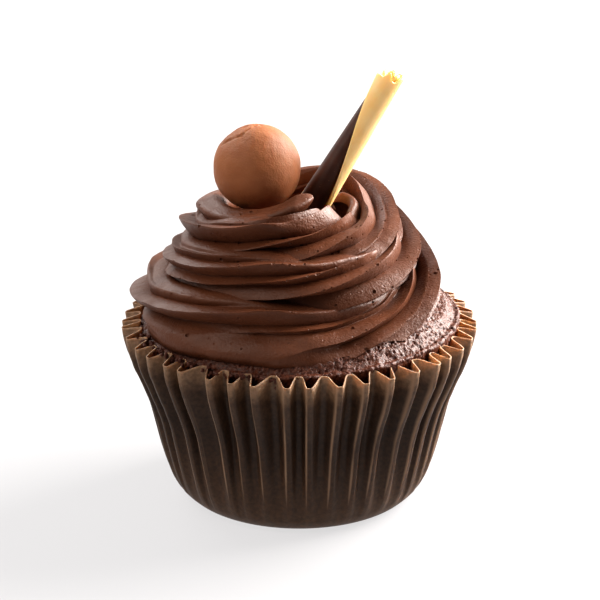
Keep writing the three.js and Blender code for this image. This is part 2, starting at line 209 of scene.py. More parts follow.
def get_normals(obj):
    n = np.zeros(len(obj.data.vertices) * 3)
    obj.data.vertices.foreach_get("normal", n)
    return n.reshape(-1, 3)


def mark_points(obj, name, values):
    """Give each point a number that the material reads by name."""
    mark = obj.data.attributes.new(name, "FLOAT", "POINT")
    mark.data.foreach_set("value", values)


def combine(obj, other, operation):
    """Boolean of obj with another closed body, which is used up."""
    modifier = obj.modifiers.new("boolean", "BOOLEAN")
    modifier.operation = operation
    modifier.object = other
    modifier.solver = "MANIFOLD"
    graph = bpy.context.evaluated_depsgraph_get()
    mesh = bpy.data.meshes.new_from_object(obj.evaluated_get(graph))
    old = obj.data
    obj.modifiers.clear()
    obj.data = mesh
    mesh.name = old.name
    bpy.data.meshes.remove(old)
    bpy.data.objects.remove(other)


def join(obj, other):
    combine(obj, other, "UNION")


def cut(obj, tool):
    combine(obj, tool, "DIFFERENCE")


# ---- Paper case -----------------------------------------------------------

CASE_HEIGHT = 36.6
# Radius of the pleats' crests at each height.
CASE_PROFILE_Z = np.array([0, 1.6, 6.5, 14.6, 22.8, 29.4, CASE_HEIGHT])
CASE_PROFILE_R = np.array([21, 25, 27.5, 29.4, 31.1, 34.4, 36.1])
# The profile's bends are blended over this height up and down.
PROFILE_BLEND = 5
PROFILE_SAMPLES = 15
# The paper's thickness here. In the solid it is 0.4.
PAPER_SHOWN = 0.2
PLEATS = 42
# The pleats start at this height and deepen up to the rim.
PLEAT_START = 1.5
PLEAT_DEPTH = 3.5
# Shares of a pleat's width: its crest, its valley, how far it strays and how far it leans.
PLEAT_CREST = 0.24
PLEAT_VALLEY = 0.27
PLEAT_SHIFT = 0.12
PLEAT_LEAN = 0.13
# Share by which the pleats differ in depth.
PLEAT_UNEVEN = 0.12
# At the rim the crests lie this far below the valleys.
CREST_DROP = 0.9
# Share of an inset by which crests narrow and valleys widen.
MITRE = 0.7
CORNER_STEPS = 5
# Heights of the wall's rings.
WALL_Z = (1.6, *np.linspace(2.6, CASE_HEIGHT, 70))
# Radius and height of the foot's rings, from the middle out under it and back inside it.
SOLE_RINGS = ((TIP_R, 0.0), (12, 0.0), (20.6, 0.0), (21, 0.0), (23.6, 0.7))
INNER_RINGS = ((23.4, 1.0), (20.6, 0.3), (12, 0.3), (TIP_R, 0.3))
# The paper is wavy and finely crumpled. The crumples are longer upwards.
WAVE_SIZE = 3.0
WAVE_DEPTH = 0.12
CRUMPLE_SIZE = 1.1
CRUMPLE_DEPTH = 0.04
CRUMPLE_SCALE = (1, 1, 0.4)
# At the rim the wall lies this far inwards, to leave room for the waves.
WALL_INWARDS = 0.1
# How strongly a painted highlight lightens a pleat's four corners, the bright edge lines of its
# folds: valley, crest, crest, valley.
CORNER_HIGHLIGHT = (0.0, 1.0, 0.35, 0.0)
# The painted highlight fades in between these heights.
HIGHLIGHT_Z = (3, 12)


def wall_radius(z):
    """Crest radius of the wall, its bends blended into smooth curves."""
    reach = min(PROFILE_BLEND, z / 2)
    heights = z + reach * np.linspace(-1, 1, PROFILE_SAMPLES)
    return np.interp(heights, CASE_PROFILE_Z, CASE_PROFILE_R).mean()


def opening(z):
    """How far the pleats have opened at height z, from 0 to 1 at the rim."""
    return clamp((z - PLEAT_START) / (CASE_HEIGHT - PLEAT_START))


def crest_angle(i):
    return (i + PLEAT_SHIFT * uneven((i + PLEATS) % PLEATS, 1)) * TURN / PLEATS


def pleat_ring(z, inset):
    """Four corners to each pleat, moved inwards by inset."""
    i = np.arange(PLEATS)
    open_share = opening(z)
    outer = wall_radius(z) - inset
    pitch = TURN / PLEATS
    mitre = MITRE * inset / outer
    crest = PLEAT_CREST * pitch / 2 - mitre
    valley = PLEAT_VALLEY * pitch / 2 + mitre
    before = (crest_angle(i - 1) + crest_angle(i)) / 2
    after = (crest_angle(i) + crest_angle(i + 1)) / 2
    top = crest_angle(i) + PLEAT_LEAN * pitch * open_share * uneven(i, 2)
    depth = PLEAT_DEPTH * open_share * (1 + PLEAT_UNEVEN * uneven(i, 3))
    drop = CREST_DROP * open_share ** 2
    angle = np.stack([before + valley, top - crest, top + crest, after - valley], 1).ravel()
    r = np.stack([outer - depth, outer + 0 * i, outer + 0 * i, outer - depth], 1).ravel()
    return level_ring(r, np.tile([z, z - drop, z - drop, z], PLEATS), angle)


def rounded(ring):
    """The ring with CORNER_STEPS points to each side, its corners slightly rounded."""
    share = (np.arange(CORNER_STEPS) / CORNER_STEPS)[None, :, None]
    sides = ring[:, None, :] * (1 - share) + np.roll(ring, -1, 0)[:, None, :] * share
    return softened(sides.reshape(-1, 3))


def make_case():
    outside = np.array([rounded(pleat_ring(z, 0.0)) for z in WALL_Z])
    inside = np.array([rounded(pleat_ring(z, PAPER_SHOWN)) for z in WALL_Z])
    angle = np.arctan2(outside[0, :, 1], outside[0, :, 0])
    sole = [level_ring(r, z, angle) for r, z in SOLE_RINGS]
    inner = [level_ring(r, z, angle) for r, z in INNER_RINGS]
    wall = np.concatenate([sole, outside, inside[::-1], inner])
    shape = wall.shape[:2]
    waves = fractal(wall.reshape(-1, 3), WAVE_SIZE, 1).reshape(shape)
    crumples = fractal(wall.reshape(-1, 3) * CRUMPLE_SCALE, CRUMPLE_SIZE, 7, 2).reshape(shape)
    up = opening(wall[..., 2])
    push = (WAVE_DEPTH * waves + CRUMPLE_DEPTH * crumples) * up - WALL_INWARDS * up
    out = wall / np.maximum(np.linalg.norm(wall[..., :2], axis=-1), TIP_R)[..., None]
    wall[..., :2] += out[..., :2] * push[..., None]
    obj = add_mesh("paper_case_look", wall.reshape(-1, 3), grid_faces(*shape))
    # Painted highlight: a light line along the fold corners, marked for the paper's material.
    highlight = np.zeros((4 * PLEATS, CORNER_STEPS))
    highlight[:, 0] = np.tile(CORNER_HIGHLIGHT, PLEATS)
    # Softening halves the painted highlight of a lone corner, so it is doubled again.
    fold_highlight = 2 * softened(highlight.ravel())[None, :] * smoothstep(wall[..., 2], *HIGHLIGHT_Z)
    mark_points(obj, "fold_highlight", fold_highlight.ravel())
    return obj


# ---- Sponge ---------------------------------------------------------------

# Height of the dome at each radius. It rises to the right by the tilt.
DOME_R = np.array([31.1, 29.4, 23, 11, 0])
DOME_Z = np.array([36.7, 38.6, 41, 42.8, 43.2])
SPONGE_TILT = 0.035
SPONGE_AROUND = 1100
# Radius and height of the rings that the case hides.
HIDDEN_RINGS = (
    (TIP_R, 0.8), (20, 0.8), (22.4, 3.2), (24, 8), (25.5, 16), (26.5, 24), (28, 29.4),
)
# The side bulges out between these radii, from SIDE_FROM to EDGE_DROP under the dome's edge.
SIDE_R = (28.4, 32.2)
SIDE_FROM = 30.0
SIDE_RINGS = 24
EDGE_R = 31.9
EDGE_DROP = 0.4
DOME_RINGS = (*np.linspace(EDGE_R, 27, 36), *np.linspace(26.7, 20, 20), 12, TIP_R)
# The sponge turns rough between these radii and between these heights.
ROUGH_R = (17, 22)
ROUGH_Z = (30, 33)
# Lumps: size, depth and a number for their chance pattern.
LUMPS = ((4.0, 0.4, 2), (1.2, 0.22, 3))
# Pores: spacing, depth, how much painted shade darkens them and a number for their chance
# pattern.
PORES = ((0.9, 0.5, 0.9, 4), (0.5, 0.25, 0.6, 5))
# A pore reaches this share of the spacing from its middle.
PORE_REACH = 0.36
# Painted shade of the loose crumbs and the hidden parts, where a deep pore's painted shade is 1.
PLAIN_PORE_SHADE = 0.3
# Loose crumbs at the left and front: ranges of angle in degrees, radius, size, and height
# above or below CRUMB_Z.
CRUMBS = 70
CRUMB_GRID = (6, 10)
CRUMB_ANGLES = (195, 262)
CRUMB_R = (31.4, 33.8)
CRUMB_SIZE = (0.25, 0.75)
CRUMB_Z = 36.0
CRUMB_RISE = (-0.6, 0.7)
# Shares of the size, drawn for each point and then for each axis.
CRUMB_ROUGH = (0.55, 1.2)
CRUMB_STRETCH = (0.6, 1.1)


def dome_height(x, y):
    """Height of the sponge's upper face over the point x, y."""
    r = np.hypot(x, y)
    return np.interp(r, DOME_R[::-1], DOME_Z[::-1]) + SPONGE_TILT * x


def dome_ring(r, angle, gap=0.0):
    """Points on the sponge's upper face at radius r, raised by gap."""
    return level_ring(r, dome_height(r * np.cos(angle), r * np.sin(angle)) + gap, angle)


def crumbs():
    """Loose crumbs caught between the sponge and the paper's edge."""
    picks = np.random.default_rng(SEED)
    bodies = []
    for _ in range(CRUMBS):
        angle = picks.uniform(*CRUMB_ANGLES) * DEG
        r = picks.uniform(*CRUMB_R)
        size = picks.uniform(*CRUMB_SIZE)
        centre = place_at(angle, r, CRUMB_Z + picks.uniform(*CRUMB_RISE))
        grid = ball_grid(*CRUMB_GRID)
        grid = grid * picks.uniform(*CRUMB_ROUGH, grid.shape[:2])[..., None]
        bodies.append(grid * size * picks.uniform(*CRUMB_STRETCH, 3) + centre)
    return gathered(bodies)


def roughen(obj, count):
    """Lumps and pores on the open part of the first count points, with painted shade in the
    pores.
    """
    co = get_points(obj)
    shown = smoothstep(np.hypot(co[:, 0], co[:, 1]), *ROUGH_R) * smoothstep(co[:, 2], *ROUGH_Z)
    shown[count:] = 0
    some = np.where(shown > 0)[0]
    raised = sum(depth * fractal(co[some], size, seed) for size, depth, seed in LUMPS)
    hollow = np.zeros(len(some))
    dark = np.zeros(len(some))
    for spacing, depth, shade, seed in PORES:
        pore = clamp(1 - cell_distance(co[some], spacing, seed) / PORE_REACH)
        hollow += depth * pore
        dark += shade * pore
    lump = np.zeros(len(co))
    lump[some] = raised - hollow
    set_points(obj, co + get_normals(obj) * (lump * shown)[:, None])
    # Painted shade: the pores, the crumbs and the hidden parts are darkened by this share in the
    # material.
    pore_shade = np.full(len(co), PLAIN_PORE_SHADE)
    pore_shade[some] = clamp(dark)
    mark_points(obj, "pore_shade", pore_shade)


def make_sponge():
    angle = turn_angles(SPONGE_AROUND)
    rings = [level_ring(r, z, angle) for r, z in HIDDEN_RINGS]
    edge_z = dome_ring(EDGE_R, angle)[:, 2] - EDGE_DROP
    for share in np.linspace(0, 1, SIDE_RINGS):
        r = lerp(*SIDE_R, math.sin(share * math.pi / 2))
        rings.append(level_ring(r, lerp(SIDE_FROM, edge_z, share), angle))
    rings += [dome_ring(r, angle) for r in DOME_RINGS]
    body = np.concatenate(rings)
    loose, loose_faces = crumbs()
    faces = grid_faces(len(rings), SPONGE_AROUND).tolist()
    faces += [[len(body) + i for i in face] for face in loose_faces]
    obj = add_mesh("sponge_look", np.concatenate([body, loose]), faces)
    roughen(obj, len(body))
    return obj


# ---- Frosting: the rope ---------------------------------------------------

# The rope winds inwards and upwards between these turns. Turn 0 is at the left.
ROPE_START = -0.3
ROPE_END = 3.3
ROPE_SEGMENTS = 8
SEGMENT_ROWS = 150
ROPE_AROUND = 240
# The swirl's own middle.
SWIRL_X = -0.7
SWIRL_Y = 0.1
# The rope's path has this many stations in a turn, and this many before turn 0.
STATIONS_PER_TURN = 6
STATIONS_BEFORE = 2
# Each station is the rope's middle: radius, height, and twist in degrees.
ROPE_PATH = np.array([
    (27.5, 40.5, -60),
    (26.5, 40.5, -35),
    (26, 41, 0),
    (23.5, 44, 15),
    (22, 41.5, 75),
    (22.5, 43, 155),
    (21.5, 48.5, 180),
    (20, 48, 220),
    (20, 49, 255),
    (19.5, 52, 270),
    (18.5, 50, 330),
    (19, 49, 395),
    (18, 52.5, 420),
    (16.5, 51.5, 465),
    (16.5, 53, 505),
    (15, 57, 505),
    (13.5, 55.5, 570),
    (15, 54, 640),
    (17.5, 58, 650),
    (17, 56.5, 685),
    (16, 59, 735),
    (12.5, 60.5, 810),
    (10, 65, 835),
    (10, 60, 875),
])
# Ridges round the rope: angle in degrees and radius. Broad ones alternate with narrow ones.
RIDGES = np.array([
    (10, 7.5), (20, 5.5), (55, 7), (85, 6.5), (115, 7), (140, 6),
    (180, 7), (215, 6.5), (250, 8), (275, 8), (300, 7), (330, 5),
])
HOLLOW_R = 3.4
# Degrees from a ridge's crest to its foot.
RIDGE_BROAD = 30
RIDGE_NARROW = 17
RIDGE_SHARP = 1.25
# The rope's upper inner side is smooth and flatter. At the right it lies further round.
TOP_R = 5.2
TOP_ANGLE = 120 * DEG
TOP_ANGLE_RIGHT = 36 * DEG
# Cosines of the angle from its middle, where it starts and where it is full.
TOP_WITHIN = (0.17, 0.5)
TOP_UNTIL = 2.35
TOP_FADE = 0.2
# The tail under the ball turns smooth, with one soft edge, and thins to a share of the size.
TAIL_R = 6
TAIL_EDGE = 15 * DEG
TAIL_BLADE = 2.8
TAIL_SHARP = 10
TAIL_SMOOTH = (2.65, 2.9)
TAIL_THIN = (2.45, 3.05)
TAIL_SIZE = 0.4
# The lowest turn is pressed out into a rounded foot over the sponge at the front.
FOOT_R = 9.4
FOOT_ANGLE = -52 * DEG
FOOT_WITHIN = (0.75, 0.98)
FOOT_FRONT = (-0.1, 0.8)
FOOT_UNTIL = 0.7
FOOT_FADE = 0.25
# The ends round off over these shares of a turn, down to these shares of the area.
START_TAPER = 0.08
START_AREA = 0.3
END_TAPER = 0.05
END_AREA = 0.05


def rope_scale(t):
    """Size of the rope's outline at turn t: the rounded ends and the thin tail."""
    start = START_AREA + (1 - START_AREA) * clamp((t - ROPE_START) / START_TAPER)
    tail = 1 - (1 - TAIL_SIZE) * smoothstep(t, *TAIL_THIN)
    end = END_AREA + (1 - END_AREA) * clamp((ROPE_END - t) / END_TAPER)
    return np.sqrt(start) * tail * np.sqrt(end)


def rope_path(t):
    """Radius, height and twist of the rope's middle at turn t."""
    p = smooth_curve(ROPE_PATH, t * STATIONS_PER_TURN + STATIONS_BEFORE)
    return p[:, 0], p[:, 1], p[:, 2] * DEG


def ridge_radius(angle):
    """Radius of the rope's outline at each angle in degrees."""
    r = np.full(angle.shape, HOLLOW_R)
    for i, (at, high) in enumerate(RIDGES):
        wide = RIDGE_NARROW if i % 2 else RIDGE_BROAD
        off = np.abs((angle - at + 180) % 360 - 180) / wide
        r = np.maximum(r, HOLLOW_R + (high - HOLLOW_R) * clamp(1 - off) ** RIDGE_SHARP)
    return r


def rope_points(t):
    """Points of the rope's surface, a row for each t."""
    angle = math.pi + TURN * t
    centre_r, centre_z, twist = rope_path(t)
    size = rope_scale(t)[:, None]
    own = turn_angles(ROPE_AROUND)
    around = twist[:, None] + own
    r = ridge_radius(own / DEG) * size
    middle = TOP_ANGLE + TOP_ANGLE_RIGHT * clamp(np.cos(angle))
    top = smoothstep(np.cos(around - middle[:, None]), *TOP_WITHIN)
    top = top * clamp((TOP_UNTIL - t) / TOP_FADE)[:, None]
    r = lerp(r, TOP_R * size, top)
    blade = TAIL_R + TAIL_BLADE * clamp(np.cos(around - TAIL_EDGE)) ** TAIL_SHARP
    r = lerp(r, blade * size, smoothstep(t, *TAIL_SMOOTH)[:, None])
    low = clamp((FOOT_UNTIL - t) / FOOT_FADE) * smoothstep(-np.sin(angle), *FOOT_FRONT)
    foot = smoothstep(np.cos(around - FOOT_ANGLE), *FOOT_WITHIN) * low[:, None]
    r = lerp(r, np.maximum(r, FOOT_R), foot)
    up = r * np.sin(around)
    out = centre_r[:, None] + r * np.cos(around)
    x = out * np.cos(angle)[:, None] + SWIRL_X
    y = out * np.sin(angle)[:, None] + SWIRL_Y
    return np.stack([x, y, centre_z[:, None] + up], -1)


# ---- Frosting: the whole body ---------------------------------------------

# Plain core that the rope winds round: radius and height.
CORE_RINGS = ((23, 34), (21, 42), (16.5, 49), (11.5, 56), (7.5, 58.5))
CORE_SIDES = 48
# Lip: the edge of the last turn, standing up round the foot of the curl.
LIP_PATH = np.array([
    (7, 5, 60.5),
    (8.5, 4, 61.5),
    (10.5, 2.5, 61),
    (11, 0.5, 60.5),
    (10.5, -2, 60),
    (10, -4.5, 59.5),
    (9, -6.5, 58.5),
    (7.5, -8.5, 57.5),
    (4.5, -10.5, 56),
    (1, -12, 54.5),
])
LIP_ROWS = 80
LIP_AROUND = 48
LIP_R = 1.6
# Share of the radius that is left at its ends, and how much taller than wide it is.
LIP_END = 0.4
LIP_TALL = 2.6
# The hole inside the lip, and the undercut low in it.
HOLE_AT = (6, -2, 62)
HOLE_R = (4.8, 6.2, 9.5)
CAVE_AT = (7.2, 1.2, 56.6)
CAVE_R = (3.8, 4.2, 3.5)
ELLIPSOID_RINGS = 48
# Size and depth of the cream's unevenness, and a number for its chance pattern.
UNSETTLED = ((9.0, 0.35, 11), (2.6, 0.08, 12))
# Gap to the sponge and to the ball.
SURFACE_GAP = 0.1
# The block under the sponge's upper face: its sides, its outer rings and its rings on the dome.
BLOCK_SIDES = 96
BLOCK_R = 60
BLOCK_BOTTOM = 20
BLOCK_RIM_R = 31.4
BLOCK_DOME_R = (31.1, 30.4, 29.4, 26, 23, 17, 11, 5, TIP_R)
# Bubbles: tries, ranges of place and size, least distance apart and shares of the size.
BUBBLE_TRIES = 800
BUBBLE_GRID = (8, 12)
BUBBLE_R = (12, 33)
BUBBLE_Z = (41, 64)
BUBBLE_MIN = 0.12
BUBBLE_MAX = 0.5
# The higher this power, the rarer the large bubbles.
BUBBLE_RARE = 3
BUBBLE_APART = 0.9
BUBBLE_STRETCH = (0.7, 1.2)
# Edges steeper than this are drawn sharp.
SHARP_ANGLE = 40 * DEG


def lip_rows():
    """Rows of points round a curved wall with a rounded top edge."""
    s = np.linspace(0, 1, LIP_ROWS)
    middle = smooth_curve(LIP_PATH, s * (len(LIP_PATH) - 1))
    tangent = np.gradient(middle, axis=0)
    side = np.stack([-tangent[:, 1], tangent[:, 0], 0 * s], 1)
    side /= np.linalg.norm(side, axis=1)[:, None]
    r = LIP_R * (LIP_END + (1 - LIP_END) * np.sqrt(np.sin(math.pi * s)))[:, None]
    angle = turn_angles(LIP_AROUND)
    points = middle[:, None] + side[:, None] * (r * np.cos(angle))[..., None]
    points[..., 2] += LIP_TALL * r * (np.sin(angle) - 1)
    return points


def ellipsoid(name, centre, radii):
    """Closed ball-like body to cut away."""
    grid = ball_grid(ELLIPSOID_RINGS, 2 * ELLIPSOID_RINGS)
    return add_mesh(name, *closed_tube(grid * np.array(radii) + np.array(centre)))


def dome_tool():
    """Everything under the sponge's upper face."""
    angle = turn_angles(BLOCK_SIDES)
    rim = CASE_HEIGHT + SURFACE_GAP
    outer = ((TIP_R, BLOCK_BOTTOM), (BLOCK_R, BLOCK_BOTTOM), (BLOCK_R, rim), (BLOCK_RIM_R, rim))
    rows = [level_ring(r, z, angle) for r, z in outer]
    rows += [dome_ring(r, angle, SURFACE_GAP) for r in BLOCK_DOME_R]
    return add_mesh("dome", *closed_tube(np.array(rows)))


def bubbles(obj):
    """Small open bubbles at chance places on the surface, as one body to cut away."""
    picks = np.random.default_rng(SEED + 1)
    co = get_points(obj)
    kept = []
    bodies = []
    for _ in range(BUBBLE_TRIES):
        angle = picks.uniform(0, TURN)
        r = picks.uniform(*BUBBLE_R)
        z = picks.uniform(*BUBBLE_Z)
        size = BUBBLE_MIN + (BUBBLE_MAX - BUBBLE_MIN) * picks.uniform(0, 1) ** BUBBLE_RARE
        stretch = picks.uniform(*BUBBLE_STRETCH, 3)
        place = co[np.argmin(((co - place_at(angle, r, z)) ** 2).sum(1))]
        if any(np.linalg.norm(place - other) < BUBBLE_APART for other in kept):
            continue
        kept.append(place)
        bodies.append(ball_grid(*BUBBLE_GRID) * size * stretch + place)
    return add_mesh("bubbles", *gathered(bodies))


def unsettle(obj):
    """Slow waves and small lumps, as the cream came out of the bag."""
    # Without a seed noise_vector goes by the clock, and the waves would differ each run.
    noise.seed_set(SEED)
    co = get_points(obj)
    moved = co.copy()
    for size, depth, seed in UNSETTLED:
        shift = np.array(NOISE_SHIFT) * seed
        moved += depth * np.array([noise.noise_vector(Vector(p)) for p in co / size + shift])
    set_points(obj, moved)


def make_frosting():
    angle = turn_angles(CORE_SIDES)
    core = [level_ring(r, z, angle) + (SWIRL_X, SWIRL_Y, 0) for r, z in CORE_RINGS]
    obj = add_mesh("frosting_look", *closed_tube(np.array(core)))
    ends = np.linspace(ROPE_START, ROPE_END, ROPE_SEGMENTS + 1)
    for first, last in zip(ends[:-1], ends[1:]):
        rows = rope_points(np.linspace(first, last, SEGMENT_ROWS))[:, ::-1]
        join(obj, add_mesh("segment", *closed_tube(rows)))
    cut(obj, ellipsoid("hole", HOLE_AT, HOLE_R))
    join(obj, add_mesh("lip", *closed_tube(lip_rows())))
    cut(obj, ellipsoid("cave", CAVE_AT, CAVE_R))
    unsettle(obj)
    seat_r = BALL_R + SURFACE_GAP
    cut(obj, ellipsoid("seat", BALL_AT, (seat_r, seat_r, seat_r)))
    cut(obj, dome_tool())
    cut(obj, bubbles(obj))
    obj.data.polygons.foreach_set("use_smooth", [True] * len(obj.data.polygons))
    obj.data.set_sharp_from_angle(angle=SHARP_ANGLE)
    return obj


# ---- Malt ball ------------------------------------------------------------

BALL_AT = (-8.3, -0.4, 67.9)
BALL_R = 8.8
BALL_GRID = (160, 320)
# The surface lies this far inwards, to leave room for its lumps.
BALL_INWARDS = 0.2
BALL_LUMP_SIZE = 6.0
BALL_LUMP_DEPTH = 0.16
BALL_GRIT_SIZE = 0.9
BALL_GRIT_DEPTH = 0.02
# A shallow dent: its direction from the ball's middle, its reach in radians and its depth.
DENT = (-0.42, -0.45, 0.79)
DENT_REACH = 0.42
DENT_DEEP = 0.5
# Two creases near the top of the ball, as directions from its middle.
CREASES = (
    ((-0.78, -0.12, 0.61), (-0.38, -0.29, 0.88), (0.11, 0.09, 0.99)),
    ((-0.69, 0.26, 0.67), (-0.31, 0.08, 0.95), (0.05, 0.2, 0.98)),
)
CREASE_WIDE = 0.04
CREASE_DEEP = 0.26
# How far the lumps and the grit make a crease stray.
CREASE_STRAY_LUMP = 0.02
CREASE_STRAY_GRIT = 0.03


def distance_to_line(points, line):
    """Least distance of each point to a line of straight pieces."""
    least = np.full(points.shape[:-1], math.inf)
    for a, b in zip(np.array(line)[:-1], np.array(line)[1:]):
        along = b - a
        share = clamp((points - a) @ along / (along @ along))
        gap = np.linalg.norm(points - a - share[..., None] * along, axis=-1)
        least = np.minimum(least, gap)
    return least


def make_ball():
    unit = ball_grid(*BALL_GRID)
    dent = np.array(DENT) / np.linalg.norm(DENT)
    near = np.exp(-(np.arccos(clamp(unit @ dent, -1, 1)) / DENT_REACH) ** 2)
    flat = unit.reshape(-1, 3) * BALL_R
    lump = fractal(flat, BALL_LUMP_SIZE, 4).reshape(near.shape)
    grit = fractal(flat, BALL_GRIT_SIZE, 6, 2).reshape(near.shape)
    r = BALL_R - BALL_INWARDS - DENT_DEEP * near
    r = r + BALL_LUMP_DEPTH * lump + BALL_GRIT_DEPTH * grit
    for line in CREASES:
        gap = distance_to_line(unit, line)
        gap = gap + CREASE_STRAY_LUMP * lump + CREASE_STRAY_GRIT * grit
        r = r - CREASE_DEEP * np.exp(-(gap / CREASE_WIDE) ** 2)
    points = unit * r[..., None] + np.array(BALL_AT)
    return add_mesh("malt_ball_look", *closed_tube(points))


# ---- Chocolate curl -------------------------------------------------------

# Middle of the curl's foot and top, and its outer radius there.
CURL_FOOT = np.array([0.4, 1, 56.3])
CURL_TOP = np.array([18.1, 3, 85.6])
CURL_R_FOOT = 3.55
CURL_R_TOP = 2.86
CURL_SHEET = 0.6
# The sheet is rolled up by this many turns, and each brings it this far inwards.
CURL_TURNS = 1.5
CURL_PITCH = 1.0
CURL_AROUND = 160
CURL_ROWS = 120
# The sheet's outer edge winds round the curl from the foot to the top.
CURL_EDGE_FOOT = 354 * DEG
CURL_EDGE_TOP = 186 * DEG
# The first turn ends in a brown strip this wide. It stops just past the turn.
CURL_DARK = 150 * DEG
CURL_DARK_BLUR = 0.04
CURL_DARK_STOP = (TURN + 0.1, TURN + 0.2)
# Shares of the length where the brown stops and where the broken end starts to stray.
CURL_DARK_TOP = (0.9, 0.94)
CURL_BROKEN = (0.9, 1)
CURL_JAGGED = 1.1
CURL_JAGS = 25


def make_curl():
    axis = CURL_TOP - CURL_FOOT
    along = axis / np.linalg.norm(axis)
    side = np.cross([0, 1, 0], along)
    side /= np.linalg.norm(side)
    back = np.cross(along, side)
    wound = np.linspace(0, 1, CURL_AROUND)
    turned = TURN * CURL_TURNS * wound
    teeth = np.arange(CURL_JAGS + 1)
    jag = np.interp(wound * CURL_JAGS, teeth, uneven(teeth, 5))
    dark_from = TURN - CURL_DARK
    strip = smoothstep(turned, dark_from - CURL_DARK_BLUR, dark_from + CURL_DARK_BLUR)
    strip = strip * (1 - smoothstep(turned, *CURL_DARK_STOP))
    rows = []
    dark = []
    for s in np.linspace(0, 1, CURL_ROWS):
        angle = lerp(CURL_EDGE_FOOT, CURL_EDGE_TOP, s) + turned
        r = lerp(CURL_R_FOOT, CURL_R_TOP, s) - CURL_PITCH * CURL_TURNS * wound
        end = CURL_JAGGED * jag * smoothstep(s, *CURL_BROKEN)
        middle = CURL_FOOT + axis * s
        ring = []
        for shell in (0, CURL_SHEET):
            p = middle + np.outer((r - shell) * np.cos(angle), side)
            p = p + np.outer((r - shell) * np.sin(angle), back) + np.outer(end, along)
            ring.append(p)
        rows.append(np.concatenate([ring[0], ring[1][::-1]]))
        brown = strip * (1 - smoothstep(s, *CURL_DARK_TOP))
        dark.append(np.concatenate([brown, brown[::-1]]))
    cols = 2 * CURL_AROUND
    faces = grid_faces(CURL_ROWS, cols).tolist()
    last = (CURL_ROWS - 1) * cols
    for i in range(CURL_AROUND - 1):
        j = cols - 1 - i
        faces.append([i, j, j - 1, i + 1])
        faces.append([last + i, last + i + 1, last + j - 1, last + j])
    obj = add_mesh("chocolate_curl_look", np.concatenate(rows), faces)
    mark_points(obj, "dark", np.concatenate(dark))
    return obj


# ---- Materials ------------------------------------------------------------

# Linear colours. A pair is the two ends of a change of tone.
FROSTING_TONES = ((0.086, 0.027, 0.011), (0.115, 0.038, 0.0165))
CRUMB_TONES = ((0.04, 0.01, 0.0045), (0.12, 0.036, 0.017))
# Painted shade in the sponge's pores.
PORE_SHADE_COLOUR = (0.06, 0.012, 0.005)
BALL_TONES = ((0.24, 0.083, 0.03), (0.285, 0.106, 0.041))
CREAM_TONES = ((0.94, 0.555, 0.215), (0.94, 0.63, 0.3))
BROWN_TONES = ((0.04, 0.011, 0.005), (0.065, 0.02, 0.01))
SPECK_COLOUR = (0.3, 0.14, 0.06)
# The paper at shares of its height, and the colour of the painted highlight on its folds.
PAPER_TONES = (
    (0.0, (0.066, 0.03, 0.013)),
    (0.6, (0.032, 0.014, 0.0065)),
    (0.85, (0.058, 0.029, 0.015)),
    (1.0, (0.27, 0.165, 0.1)),
)
FOLD_HIGHLIGHT_COLOUR = (0.26, 0.16, 0.1)
TABLE_COLOUR = (0.08, 0.079, 0.08)
TABLE_GLOW = (1.0, 0.985, 0.99)
# Most of a noise's values lie between these.
NOISE_RANGE = (0.3, 0.7)


